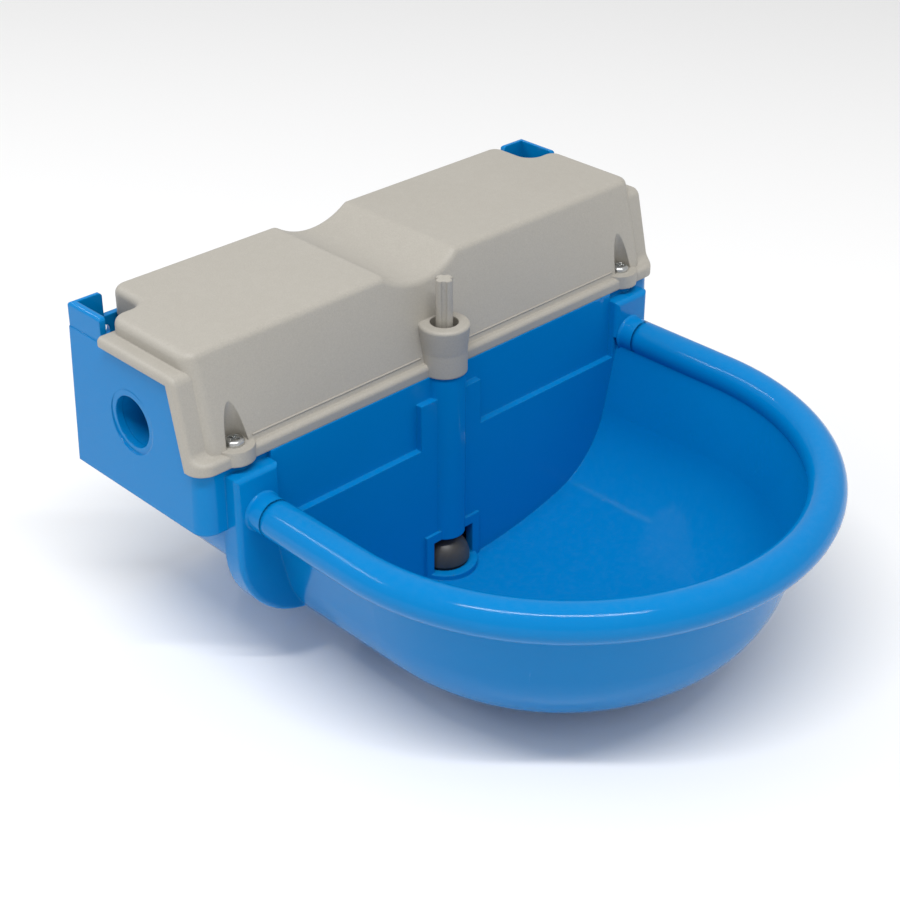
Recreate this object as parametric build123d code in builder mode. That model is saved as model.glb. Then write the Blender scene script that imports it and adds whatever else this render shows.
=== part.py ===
from build123d import *
import os
from math import atan2, cos, degrees, hypot, pi, radians, sin, tan

# Livestock drinking bowl: a wall-mounted housing with a float chamber behind and a bowl in front.
# Millimetres. y = 0 is the wall, -Y points out of the wall, +Z is up, x = 0 is the middle,
# and z = 0 is the bottom edge of the chamber's end walls.

# ---- working lengths ----
OVERCUT = 2.0            # how far a cut runs past the face it opens
NEAR = 0.1               # picks the edges that lie at a position
# ---- housing: float chamber ----
WIDTH = 300.0            # over the chamber's end walls, at their bottom
WALL = 3.2               # moulded wall thickness
CHAMBER_DEPTH = 96.0     # wall plane to the chamber's front corners
SIDE_TOP = 69.4          # top edge of the end walls, under the cover's lip
FRONT_TOP = 31.4         # top edge of the front wall, under the cover's lip
FRONT_FOOT = -20.0       # the front wall ends behind the flange
KINK_Y = -78.4           # where the end walls' top edge turns down
FOOT_Y = -87.0           # where that slope reaches the front wall's height
END_DRAFT = 2.8          # how far the end walls lean in, over DRAFT_HEIGHT
DRAFT_HEIGHT = 82.0
CORNER_R = 8.0           # front vertical corners of the chamber
TROUGH_HALF = 128.0      # half width of the lower chamber
TROUGH_CORNER_Z = -13.0  # where its rounded corners start
TROUGH_R = 34.0
TROUGH_SLOPE = 35.0      # degrees, from the corners down to the sump
SUMP_Z = -84.0           # underside of the sump
# ---- housing: front wall and flange ----
WALL_UPPER_Y = -98.5     # the bowl's back wall above its ledge
WALL_LOWER_Y = -102.0    # and below it
LEDGE_Z = -4.5
PAD_Y = -104.0           # front of the flange and of its two pads
FLANGE_HALF = 137.0
PAD_INNER = 113.0
PAD_EDGE_R = 2.4
PAD_TOP = 27.5
FLANGE_R = 44.0
FLANGE_CORNER_Z = -13.0
# ---- housing: bowl and rolled rim ----
RIM_HALF = 123.6         # half width to the rim's centre line
RIM_Z = 7.4
RIM_R = 9.1
RIM_WALL = 2.8
RIM_MOUTH_WIDTH = 8.0    # slot along the rim's underside
RIM_MOUTH_HEIGHT = 9.0
RIM_MOUTH_SHIFT = 1.2    # and how far it lies outside the rim's centre line
RIM_END_Y = -112.3       # centre of the rim's round ends, which run into the flange
BOWL_CENTRE_Y = -166.6   # where the straight sides meet the round front
SIDE_DRAFT = 0.228       # the bowl's wall leans in by this much for each mm down
BOWL_TOP_INSET = 4.4     # outer wall inside the rim's centre line, at z = 0
BOWL_CORNER_R = 53.4     # between the side and the dished floor
FLOOR_EDGE = (76.2, -73.3)    # a point of the floor beside that corner
FLOOR_SLOPE = 0.28       # and the floor's slope there
BOWL_BOTTOM_Z = -84.0
# ---- drain ----
DRAIN_X = -5.5
DRAIN_Y = -97.0
DRAIN_HOLE_R = 8.2
SEAT_RING_R = 16.8       # raised ring round the drain hole
SEAT_Z = -77.6
PILLAR_R = 10.4
CHANNEL_R = 7.6
WINDOW_HALF = 13.35
WINDOW_X = -5.35
WINDOW_TOP = -60.0
WINDOW_CORNER_R = 5.0
FRAME_WIDTH = 5.0
FRAME_PROUD = 1.5
SHOULDER_HALF = 20.0
SHOULDER_HEIGHT = 24.5
# ---- corner posts and wall screws ----
POST_TOP = 81.5
POST_INNER_X = 131.0
POST_DEPTH = 25.0
POST_FRONT_X = 127.5     # the post's front block reaches further in than its tab
POST_FOOT = 24.0         # how far the post runs down inside the chamber
POST_EDGE_R = 1.8
WALL_SCREW_X = 131.5
WALL_SCREW_Z = 62.0
WALL_SCREW_R = 3.25
DRIVER_R = 6.0
POCKET_OUTER_X = 137.5
POCKET_WIDTH = 9.5
POCKET_DEPTH = 14.0
POCKET_FLOOR_Z = 54.0
TAB_DEPTH = 5.5
# ---- pipe bores and valve ----
BORE_Y = -45.5
BORE_Z = 38.3
BORE_R = 12.5
SPOT_R = 15.5
SPOT_X = 148.3           # outer spot face
INNER_SPOT_X = 144.6     # inner spot face
TAIL_R = 10.48           # half-inch pipe thread, over its crests
# ---- cover ----
COVER_TOP = 83.3
COVER_WALL = 2.8
CROWN_HALF = 143.8
CROWN_BACK_Y = -1.0
RIDGE_Y = -82.5
LIP_HALF = 151.5
LIP_HEIGHT = 6.0
LIP_FRONT_Y = -98.0
VALLEY_X = -7.5
VALLEY_HALF = 23.0
VALLEY_DEPTH = 7.5
POST_GAP = 1.8           # cover's notch round the posts
FACE_FOOT_Y = -94.5      # where the sloping front meets the lip
CROWN_CORNER_R = 7.0
CROWN_EDGE_R = 4.0
LIP_START = 28.5
LIP_CORNER_R = 9.0       # the lip's front corners, seen from above
LIP_EDGE_R = 2.4
LIP_KINK_R = 5.0         # the lip's bends, seen from the side
LIP_SIDE_Y = -82.9       # where the lip's top turns down at the sides
LIP_FOOT_Y = -91.6       # and where it turns level again at the front
SCREW_X = 127.5
SCREW_Y = -91.6
SCREW_SEAT_Z = 38.5
BOSS_R = 5.5
BOSS_DEPTH = 18.0
BOSS_FLOOR = 2.0
PILOT_R = 2.05
COLLAR_TOP = 56.8
COLLAR_FOOT_R = 11.2
COLLAR_R = 12.6
COLLAR_EDGE_R = 1.6
COLLAR_TAPER = 14.0
COLLAR_BORE_R = 6.9
SCOOP_R = 6.5
SCOOP_TOP_R = 1.5
SCOOP_HEIGHT = 25.0
SCREW_HOLE_R = 2.3

os.makedirs("parts", exist_ok=True)


def outer_x(z):
    """The end wall's outer face at height z."""
    return WIDTH / 2 - END_DRAFT * z / DRAFT_HEIGHT


def trough_outline(inset):
    """Corner points of the lower chamber's right half, moved in by inset."""
    half = TROUGH_HALF - inset
    radius = TROUGH_R - inset
    centre_x = half - radius
    slope = radians(TROUGH_SLOPE)
    arc_end = (centre_x + radius * sin(slope), TROUGH_CORNER_Z - radius * cos(slope))
    bottom = SUMP_Z + inset
    sump_x = arc_end[0] - (arc_end[1] - bottom) / tan(slope)
    return half, radius, centre_x, arc_end, sump_x, bottom


def trough_section(inset, top):
    """Section of the lower chamber, open width at height top, moved in by inset."""
    half, radius, centre_x, arc_end, sump_x, bottom = trough_outline(inset)
    with BuildSketch() as section:
        with BuildLine():
            Line((0, top), (half, top))
            Line((half, top), (half, TROUGH_CORNER_Z))
            RadiusArc((half, TROUGH_CORNER_Z), arc_end, radius)
            Line(arc_end, (sump_x, bottom))
            Line((sump_x, bottom), (0, bottom))
            mirror(about=Plane.YZ)
        make_face()
    return section.sketch


def bowl_wall_x(z):
    """Outer half width of the bowl at height z, above its rounded corner."""
    return RIM_HALF - BOWL_TOP_INSET + SIDE_DRAFT * z


def bowl_section(inset):
    """Right half of the bowl's section as a closed face, moved in by inset."""
    side_angle = atan2(SIDE_DRAFT, 1)
    floor_angle = atan2(FLOOR_SLOPE, 1)
    turn = pi / 2 - side_angle - floor_angle
    radius = BOWL_CORNER_R - inset
    side_inset = inset / cos(side_angle)
    floor_z = FLOOR_EDGE[1] + inset / cos(floor_angle)
    # knee: where the side and the floor would meet without their rounded corner
    foot_x = bowl_wall_x(0) - side_inset
    knee_z = (floor_z + FLOOR_SLOPE * (foot_x - FLOOR_EDGE[0])) / (1 - FLOOR_SLOPE * SIDE_DRAFT)
    corner_z = knee_z + radius * tan(turn / 2) * cos(side_angle)
    shoulder = (bowl_wall_x(RIM_Z) - side_inset, RIM_Z)
    corner = (foot_x + SIDE_DRAFT * corner_z, corner_z)
    bottom = (0, BOWL_BOTTOM_Z + inset)
    with BuildSketch() as section:
        with BuildLine():
            Line((0, RIM_Z), shoulder)
            side = Line(shoulder, corner)
            bend = JernArc(corner, side % 1, radius, -degrees(turn))
            TangentArc(bend @ 1, bottom, tangent=bend % 1)
            Line(bottom, (0, RIM_Z))
        make_face()
    return section.sketch


def bowl_solid(inset, back_y, top):
    """Bowl shape from back_y to its round front, moved in by inset and open up to top."""
    section = bowl_section(inset)
    opening = section.bounding_box().max
    with BuildPart() as shape:
        with BuildSketch(Plane.XZ.offset(-back_y)):
            add(section)
            add(section.mirror(Plane.YZ))
        extrude(amount=back_y - BOWL_CENTRE_Y)
        with BuildSketch(Plane.XZ.offset(-BOWL_CENTRE_Y)):
            add(section)
        revolve(axis=Axis((0, BOWL_CENTRE_Y, 0), (0, 0, 1)), revolution_arc=-180)
        if top > opening.Y:
            with BuildSketch(Plane.XY.offset(opening.Y)):
                with Locations((0, BOWL_CENTRE_Y)):
                    Circle(opening.X)
                with Locations((0, (back_y + BOWL_CENTRE_Y) / 2)):
                    Rectangle(2 * opening.X, back_y - BOWL_CENTRE_Y)
                with Locations((0, back_y + opening.X)):
                    Rectangle(2 * opening.X, 2 * opening.X, mode=Mode.SUBTRACT)
            extrude(amount=top - opening.Y)
    return shape.part


def rim_section():
    """Rolled rim: a round lip, hollow and open underneath, at the right of the bowl."""
    with BuildSketch() as section:
        with Locations((RIM_HALF, RIM_Z)):
            Circle(RIM_R)
            Circle(RIM_R - RIM_WALL, mode=Mode.SUBTRACT)
        with Locations((RIM_HALF + RIM_MOUTH_SHIFT, RIM_Z - RIM_R)):
            Rectangle(RIM_MOUTH_WIDTH, RIM_MOUTH_HEIGHT, mode=Mode.SUBTRACT)
    return section.sketch


def corner_post(side):
    """Post at a back corner of the chamber: a tab on the wall with a deeper block in front."""
    outer = outer_x(POST_TOP)
    block_depth = POST_DEPTH - POCKET_DEPTH
    with BuildPart() as post:
        with BuildSketch(Plane.XY.offset(SIDE_TOP - POST_FOOT)):
            with Locations((side * (POST_INNER_X + outer) / 2, -POST_DEPTH / 2)):
                Rectangle(outer - POST_INNER_X, POST_DEPTH)
            with Locations((side * (POST_FRONT_X + outer) / 2, block_depth / 2 - POST_DEPTH)):
                Rectangle(outer - POST_FRONT_X, block_depth)
        extrude(amount=POST_TOP - SIDE_TOP + POST_FOOT)
        fillet(post.faces().sort_by(Axis.Z)[-1].edges(), POST_EDGE_R)
    return post.part


def flange_plate():
    """Flange on the chamber's front, with rounded lower corners and softened front edges."""
    bottom = FLANGE_CORNER_Z - FLANGE_R
    with BuildPart() as plate:
        with BuildSketch(Plane.XZ.offset(CHAMBER_DEPTH - WALL)) as outline:
            with Locations((0, (PAD_TOP + bottom) / 2)):
                Rectangle(2 * FLANGE_HALF, PAD_TOP - bottom)
            fillet(outline.vertices().group_by(Axis.Y)[0], FLANGE_R)
        extrude(amount=-PAD_Y - CHAMBER_DEPTH + WALL)
        # the bowl's back wall lies deeper, which leaves a pad on each side
        with BuildSketch(Plane.XZ.offset(-PAD_Y)):
            with Locations((0, (LEDGE_Z + PAD_TOP) / 2)):
                Rectangle(2 * PAD_INNER, PAD_TOP - LEDGE_Z)
        extrude(amount=PAD_Y - WALL_UPPER_Y, mode=Mode.SUBTRACT)
        fillet(plate.faces().sort_by(Axis.Y)[0].edges(), PAD_EDGE_R)
    return plate.part


with BuildPart() as housing:
    # float chamber: a drafted block, cut to the stepped outline of its end walls
    for height, width in ((0, WIDTH), (DRAFT_HEIGHT, WIDTH - 2 * END_DRAFT)):
        with BuildSketch(Plane.XY.offset(height)) as plan:
            with Locations((0, -CHAMBER_DEPTH / 2)):
                Rectangle(width, CHAMBER_DEPTH)
            fillet(plan.vertices().group_by(Axis.Y)[0], CORNER_R)
    loft()
    with BuildSketch(Plane.YZ):
        with BuildLine():
            Polyline((0, 0), (0, SIDE_TOP), (KINK_Y, SIDE_TOP), (FOOT_Y, FRONT_TOP),
                     (-CHAMBER_DEPTH, FRONT_TOP), (-CHAMBER_DEPTH, 0), close=True)
        make_face()
    extrude(amount=WIDTH, both=True, mode=Mode.INTERSECT)
    # lower chamber
    with BuildSketch(Plane.XZ):
        add(trough_section(0, WALL))
    extrude(amount=-WALL_UPPER_Y)
    # front wall and the flange that carries the bowl
    with BuildSketch(Plane.XZ.offset(CHAMBER_DEPTH - WALL)):
        with Locations((0, (FRONT_TOP + FRONT_FOOT) / 2)):
            Rectangle(2 * PAD_INNER, FRONT_TOP - FRONT_FOOT)
    extrude(amount=-WALL_UPPER_Y - CHAMBER_DEPTH + WALL)
    add(flange_plate())
    add(bowl_solid(0, WALL_UPPER_Y, RIM_Z))
    # corner posts
    for side in (-1, 1):
        add(corner_post(side))
    # inside of the float chamber
    for height in (WALL, DRAFT_HEIGHT):
        with BuildSketch(Plane.XY.offset(height)) as plan:
            with Locations((0, -CHAMBER_DEPTH / 2)):
                Rectangle(2 * (outer_x(height) - WALL), CHAMBER_DEPTH - 2 * WALL)
            fillet(plan.vertices().group_by(Axis.Y)[0], CORNER_R - WALL)
    loft(mode=Mode.SUBTRACT)
    with BuildSketch(Plane.XY.offset(WALL)):
        with Locations((0, WALL_UPPER_Y / 2)):
            Rectangle(2 * PAD_INNER, -WALL_UPPER_Y - 2 * WALL)
    extrude(amount=DRAFT_HEIGHT, mode=Mode.SUBTRACT)
    with BuildSketch(Plane.XZ.offset(WALL)):
        add(trough_section(WALL, WALL + OVERCUT))
    extrude(amount=-WALL_UPPER_Y - 2 * WALL, mode=Mode.SUBTRACT)
    with BuildSketch(Plane.XZ.offset(WALL)):
        add(trough_section(WALL, LEDGE_Z - WALL))
    extrude(amount=-WALL_LOWER_Y - 2 * WALL, mode=Mode.SUBTRACT)
    # inside of the bowl, with its stepped back wall
    add(bowl_solid(WALL, PAD_Y, PAD_TOP + OVERCUT), mode=Mode.SUBTRACT)
    with BuildSketch(Plane.XZ.offset(-WALL_LOWER_Y)):
        add(bowl_section(WALL))
        add(bowl_section(WALL).mirror(Plane.YZ))
    extrude(amount=WALL_LOWER_Y - PAD_Y, mode=Mode.SUBTRACT)
    with BuildSketch(Plane.XZ.offset(-WALL_UPPER_Y)):
        with Locations((0, (LEDGE_Z + FRONT_TOP) / 2)):
            Rectangle(2 * PAD_INNER, FRONT_TOP - LEDGE_Z)
    extrude(amount=WALL_UPPER_Y - PAD_Y, mode=Mode.SUBTRACT)
    # rolled rim with closed round ends
    with BuildSketch(Plane.XZ.offset(-RIM_END_Y)):
        add(rim_section())
        add(rim_section().mirror(Plane.YZ))
    extrude(amount=RIM_END_Y - BOWL_CENTRE_Y)
    with BuildSketch(Plane.XZ.offset(-BOWL_CENTRE_Y)):
        add(rim_section())
    revolve(axis=Axis((0, BOWL_CENTRE_Y, 0), (0, 0, 1)), revolution_arc=-180)
    with Locations((-RIM_HALF, RIM_END_Y, RIM_Z), (RIM_HALF, RIM_END_Y, RIM_Z)):
        Sphere(RIM_R)
    # shoulders beside the pillar, and the frame round the window
    with BuildSketch(Plane.XZ.offset(-WALL_UPPER_Y)):
        with Locations((DRAIN_X, LEDGE_Z + SHOULDER_HEIGHT / 2)):
            Rectangle(2 * SHOULDER_HALF, SHOULDER_HEIGHT)
    extrude(amount=WALL_UPPER_Y - WALL_LOWER_Y)
    with BuildSketch(Plane.XZ.offset(-WALL_LOWER_Y)):
        with Locations((WINDOW_X, (WINDOW_TOP + FRAME_WIDTH + SUMP_Z + WALL) / 2)):
            Rectangle(2 * (WINDOW_HALF + FRAME_WIDTH), WINDOW_TOP + FRAME_WIDTH - SUMP_Z - WALL)
    extrude(amount=FRAME_PROUD)
    # pillar: the guide tube of the drain rod, half of it standing out into the bowl
    with BuildSketch(Plane.XY.offset(WINDOW_TOP)):
        with Locations((DRAIN_X, DRAIN_Y)):
            Circle(PILLAR_R)
    extrude(amount=FRONT_TOP - WINDOW_TOP)
    with BuildSketch(Plane.XY.offset(WINDOW_TOP - OVERCUT)):
        with Locations((DRAIN_X, DRAIN_Y)):
            Circle(CHANNEL_R)
    extrude(amount=FRONT_TOP - WINDOW_TOP + 2 * OVERCUT, mode=Mode.SUBTRACT)
    # window between chamber and bowl, and the drain hole under the rod
    with BuildSketch(Plane.XZ.offset(CHAMBER_DEPTH - 2 * WALL)) as window_outline:
        with Locations((WINDOW_X, (WINDOW_TOP + SUMP_Z + WALL) / 2)):
            Rectangle(2 * WINDOW_HALF, WINDOW_TOP - SUMP_Z - WALL)
        fillet(window_outline.vertices().group_by(Axis.Y)[0], WINDOW_CORNER_R)
    extrude(amount=-PAD_Y - CHAMBER_DEPTH + 3 * WALL, mode=Mode.SUBTRACT)
    with BuildSketch(Plane.XY.offset(SEAT_Z)):
        with Locations((DRAIN_X, DRAIN_Y)):
            Circle(SEAT_RING_R)
    extrude(amount=SUMP_Z + WALL / 2 - SEAT_Z)
    with BuildSketch(Plane.XY.offset(SEAT_Z)):
        with Locations((DRAIN_X, DRAIN_Y)):
            Circle(DRAIN_HOLE_R)
    extrude(amount=SUMP_Z - WALL - SEAT_Z, mode=Mode.SUBTRACT)
    # pipe bores with flat seats for the inlet's washers
    for side in (-1, 1):
        wall_plane = Plane(origin=(side * INNER_SPOT_X, BORE_Y, BORE_Z), z_dir=(side, 0, 0))
        with BuildSketch(wall_plane):
            Circle(BORE_R)
        extrude(amount=WIDTH / 2 - INNER_SPOT_X + OVERCUT, mode=Mode.SUBTRACT)
        with BuildSketch(wall_plane.offset(SPOT_X - INNER_SPOT_X)):
            Circle(SPOT_R)
        extrude(amount=WIDTH / 2 - SPOT_X + OVERCUT, mode=Mode.SUBTRACT)
        with BuildSketch(wall_plane):
            Circle(SPOT_R)
            Circle(BORE_R, mode=Mode.SUBTRACT)
        extrude(amount=SPOT_X - INNER_SPOT_X)
    # screw bosses for the cover
    for side in (-1, 1):
        with BuildSketch(Plane.XY.offset(FRONT_TOP)):
            with Locations((side * SCREW_X, SCREW_Y)):
                Circle(BOSS_R)
        extrude(amount=-BOSS_DEPTH)
        with BuildSketch(Plane.XY.offset(FRONT_TOP)):
            with Locations((side * SCREW_X, SCREW_Y)):
                Circle(PILOT_R)
        extrude(amount=BOSS_FLOOR - BOSS_DEPTH, mode=Mode.SUBTRACT)
    # wall screws: a pocket in each post, open at its top and inner side, a hole through the tab
    # behind it, and a groove for the screwdriver in front of it
    pocket_x = POCKET_OUTER_X - POCKET_WIDTH / 2
    for side in (-1, 1):
        with BuildSketch(Plane.XY.offset(POCKET_FLOOR_Z)):
            with Locations((side * pocket_x, -(TAB_DEPTH + POCKET_DEPTH) / 2)):
                Rectangle(POCKET_WIDTH, POCKET_DEPTH - TAB_DEPTH)
        extrude(amount=POST_TOP, mode=Mode.SUBTRACT)
        with BuildSketch(Plane.XZ):
            with Locations((side * WALL_SCREW_X, WALL_SCREW_Z)):
                Circle(WALL_SCREW_R)
        extrude(amount=POCKET_DEPTH, mode=Mode.SUBTRACT)
        with BuildSketch(Plane.XZ.offset(POCKET_DEPTH)):
            with Locations((side * WALL_SCREW_X, WALL_SCREW_Z)):
                Circle(DRIVER_R)
        extrude(amount=POST_DEPTH, mode=Mode.SUBTRACT)
housing.part.label = "housing"
export_step(housing.part, "parts/housing.step")


def side_prism(points, half_width):
    """A solid with a Y-Z outline, running from -half_width to half_width along the wall."""
    with BuildPart() as prism:
        with BuildSketch(Plane.YZ):
            with BuildLine():
                Polyline(*points, close=True)
            make_face()
        extrude(amount=half_width, both=True)
    return prism.part


def crown(inset, foot_z):
    """The cover's raised crown, moved in by inset, with its sloping front running down to foot_z."""
    top = COVER_TOP - inset
    lean = (RIDGE_Y - FACE_FOOT_Y) / (COVER_TOP - LIP_TOP_FRONT)
    face_inset = inset * hypot(1, lean)
    ridge_y = FACE_FOOT_Y + face_inset + lean * (top - LIP_TOP_FRONT)
    back_y = CROWN_BACK_Y - inset
    face_foot = (FACE_FOOT_Y + face_inset, LIP_TOP_FRONT)
    notch_depth = POST_DEPTH + POST_GAP + inset
    notch_inner = POST_FRONT_X - POST_GAP - inset
    valley_r = (VALLEY_HALF**2 + VALLEY_DEPTH**2) / (2 * VALLEY_DEPTH)
    with BuildPart() as shape:
        with BuildSketch(Plane.YZ):
            with BuildLine():
                Polyline((back_y, foot_z), (back_y, top), (ridge_y, top), face_foot,
                         (face_foot[0], foot_z), close=True)
            make_face()
        extrude(amount=CROWN_HALF - inset, both=True)
        for side in (-1, 1):
            with BuildSketch(Plane.XY.offset(foot_z)):
                with Locations((side * (notch_inner + WIDTH / 2) / 2, -notch_depth / 2)):
                    Rectangle(WIDTH / 2 - notch_inner, notch_depth)
            extrude(amount=top, mode=Mode.SUBTRACT)
        corners = shape.edges().filter_by(Axis.Z).filter_by_position(Axis.Y, -notch_depth - NEAR, 0)
        fillet(corners, CROWN_CORNER_R)
        front_corners = shape.edges().filter_by(
            lambda edge: abs(edge.center().X) > CROWN_HALF - inset - NEAR
            and FACE_FOOT_Y < edge.center().Y < ridge_y and edge.center().Z > LIP_TOP_FRONT)
        fillet(front_corners, CROWN_CORNER_R)
        with BuildSketch(Plane.XZ.offset(-OVERCUT)):
            with Locations((VALLEY_X, COVER_TOP - VALLEY_DEPTH + valley_r)):
                Circle(valley_r + inset)
        extrude(amount=CHAMBER_DEPTH + OVERCUT, mode=Mode.SUBTRACT)
        fillet(shape.edges().filter_by_position(Axis.Z, top - VALLEY_DEPTH - NEAR, top + NEAR),
               CROWN_EDGE_R - inset / 2)
    return shape.part


LIP_TOP_SIDE = SIDE_TOP + LIP_HEIGHT
LIP_TOP_FRONT = FRONT_TOP + LIP_HEIGHT

# walls of the two tapered scoops that give room for the cover's screws
with BuildPart() as scoop_walls:
    with Locations((-SCREW_X, SCREW_Y, FRONT_TOP), (SCREW_X, SCREW_Y, FRONT_TOP)):
        Cone(SCOOP_R + COVER_WALL, SCOOP_TOP_R + COVER_WALL, SCOOP_HEIGHT + SCREW_SEAT_Z - FRONT_TOP,
             align=(Align.CENTER, Align.CENTER, Align.MIN))
    add(crown(0, FRONT_TOP), mode=Mode.INTERSECT)


def lip():
    """Rolled lip that runs along the chamber's top edge on three sides, as a solid slab."""
    with BuildPart() as slab:
        with BuildSketch(Plane.YZ) as profile:
            with BuildLine():
                Polyline((-LIP_START, SIDE_TOP), (-LIP_START, LIP_TOP_SIDE), (LIP_SIDE_Y, LIP_TOP_SIDE),
                         (LIP_FOOT_Y, LIP_TOP_FRONT), (LIP_FRONT_Y, LIP_TOP_FRONT),
                         (LIP_FRONT_Y, FRONT_TOP), (FOOT_Y, FRONT_TOP), (KINK_Y, SIDE_TOP), close=True)
            make_face()
            bends = profile.vertices().filter_by_position(Axis.X, LIP_FOOT_Y - NEAR, LIP_SIDE_Y + NEAR)
            fillet(bends.group_by(Axis.Y)[-1], LIP_KINK_R)
            foot = profile.vertices().filter_by_position(Axis.X, LIP_FOOT_Y - NEAR, LIP_FOOT_Y + NEAR)
            fillet(foot, LIP_KINK_R)
        extrude(amount=LIP_HALF, both=True)
        fillet(slab.edges().filter_by(Axis.Z).group_by(Axis.Y)[0], LIP_CORNER_R)
        rolled = slab.edges().filter_by(
            lambda edge: edge.bounding_box().min.Z > FRONT_TOP + NEAR
            and edge.center().Y < -LIP_START - NEAR
            and (abs(edge.center().X) > LIP_HALF - LIP_CORNER_R or edge.center().Y < LIP_FRONT_Y + NEAR))
        fillet(rolled, LIP_EDGE_R)
    return slab.part


def collar():
    """Guide of the drain rod: it widens upwards and has a rounded top."""
    with BuildPart() as ring:
        with Locations((DRAIN_X, DRAIN_Y, COLLAR_TOP)):
            Cone(COLLAR_FOOT_R, COLLAR_R, COLLAR_TAPER, align=(Align.CENTER, Align.CENTER, Align.MAX))
        fillet(ring.edges().group_by(Axis.Z)[-1], COLLAR_EDGE_R)
    return ring.part


with BuildPart() as cover:
    # lip that overlaps the chamber's top edge on three sides
    add(lip())
    # raised crown over it, trimmed to stand on the end walls' outline
    add(crown(0, FRONT_TOP))
    add(side_prism([(OVERCUT, 0), (OVERCUT, SIDE_TOP), (KINK_Y, SIDE_TOP), (FOOT_Y, FRONT_TOP),
                    (FOOT_Y, 0)], WIDTH), mode=Mode.SUBTRACT)
    # hollow inside
    add(crown(COVER_WALL, FRONT_TOP - OVERCUT), mode=Mode.SUBTRACT)
    # screw seats in tapered scoops
    add(scoop_walls.part)
    for side in (-1, 1):
        with BuildSketch(Plane.XY.offset(FRONT_TOP)):
            with Locations((side * SCREW_X, SCREW_Y)):
                Circle(SCOOP_R + COVER_WALL)
        extrude(amount=SCREW_SEAT_Z - FRONT_TOP)
        with Locations((side * SCREW_X, SCREW_Y, SCREW_SEAT_Z)):
            Cone(SCOOP_R, SCOOP_TOP_R, SCOOP_HEIGHT, align=(Align.CENTER, Align.CENTER, Align.MIN),
                 mode=Mode.SUBTRACT)
            Cylinder(SCREW_HOLE_R, 2 * (SCREW_SEAT_Z - FRONT_TOP + OVERCUT), mode=Mode.SUBTRACT)
    # collar that guides the drain rod
    with BuildSketch(Plane.XY.offset(FRONT_TOP)):
        with Locations((DRAIN_X, DRAIN_Y)):
            Circle(COLLAR_FOOT_R)
    extrude(amount=COLLAR_TOP - FRONT_TOP - COLLAR_TAPER)
    add(collar())
    with Locations((DRAIN_X, DRAIN_Y, COLLAR_TOP)):
        Cylinder(COLLAR_BORE_R, 2 * (COLLAR_TOP - FRONT_TOP + OVERCUT), mode=Mode.SUBTRACT)
cover.part.label = "cover"
export_step(cover.part, "parts/cover.step")


# ---- cover screws: two pan heads with cross recesses ----
HEAD_R = 4.7
HEAD_HEIGHT = 2.8
SHANK_R = 2.0
SHANK_LENGTH = 20.0
RECESS_WIDTH = 1.3
RECESS_LENGTH = 5.2
RECESS_DEPTH = 1.6
RECESS_ANGLE = 30.0
HEAD_EDGE_R = 1.9

with BuildPart() as cover_screws:
    for side in (-1, 1):
        with Locations((side * SCREW_X, SCREW_Y, SCREW_SEAT_Z)):
            Cylinder(HEAD_R, HEAD_HEIGHT, align=(Align.CENTER, Align.CENTER, Align.MIN))
            Cylinder(SHANK_R, SHANK_LENGTH, align=(Align.CENTER, Align.CENTER, Align.MAX))
    fillet(cover_screws.edges().group_by(Axis.Z)[-1], HEAD_EDGE_R)
    for side in (-1, 1):
        with BuildSketch(Plane.XY.offset(SCREW_SEAT_Z + HEAD_HEIGHT)):
            with Locations((side * SCREW_X, SCREW_Y)):
                Rectangle(RECESS_LENGTH, RECESS_WIDTH, rotation=RECESS_ANGLE)
                Rectangle(RECESS_LENGTH, RECESS_WIDTH, rotation=RECESS_ANGLE + 90)
        extrude(amount=-RECESS_DEPTH, mode=Mode.SUBTRACT)
cover_screws.part.label = "cover_screws"
export_step(cover_screws.part, "parts/cover_screws.step")

# ---- drain: a fluted rod with a plug on its foot, pulled up through the collar ----
ROD_TOP = 79.7
ROD_R = 4.3
FLUTE_R = 1.5
FLUTE_CIRCLE_R = 4.7     # of the flutes' centres, just outside the rod
ROD_CHAMFER = 0.5
ROD_SOCKET = 6.0         # how deep the rod sits in the plug
PLUG_R = 12.8
PLUG_RIM = 0.5
SPIGOT_R = 7.6
SPIGOT_CHAMFER = 0.6
SEAL_R = 12.0
SEAL_HEIGHT = 1.8
SEAL_GAP = 0.2           # closed plug's seal above its seat, before the water's weight presses it
HEAD_Z = SEAT_Z + SEAL_GAP + SEAL_HEIGHT    # underside of the plug's head, on its seal
PLUG_TOP = HEAD_Z + PLUG_RIM + PLUG_R
ROD_FOOT = PLUG_TOP - ROD_SOCKET
drain_plane = Plane(origin=(DRAIN_X, DRAIN_Y, 0), x_dir=(1, 0, 0), z_dir=(0, -1, 0))
drain_axis = Axis((DRAIN_X, DRAIN_Y, 0), (0, 0, 1))

with BuildPart() as drain_rod:
    with BuildSketch(Plane.XY.offset(ROD_FOOT)):
        with Locations((DRAIN_X, DRAIN_Y)):
            Circle(ROD_R)
            with PolarLocations(FLUTE_CIRCLE_R, 4, start_angle=45):
                Circle(FLUTE_R, mode=Mode.SUBTRACT)
    extrude(amount=ROD_TOP - ROD_FOOT)
    chamfer(drain_rod.faces().sort_by(Axis.Z)[-1].edges(), ROD_CHAMFER)
drain_rod.part.label = "drain_rod"
export_step(drain_rod.part, "parts/drain_rod.step")

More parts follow.
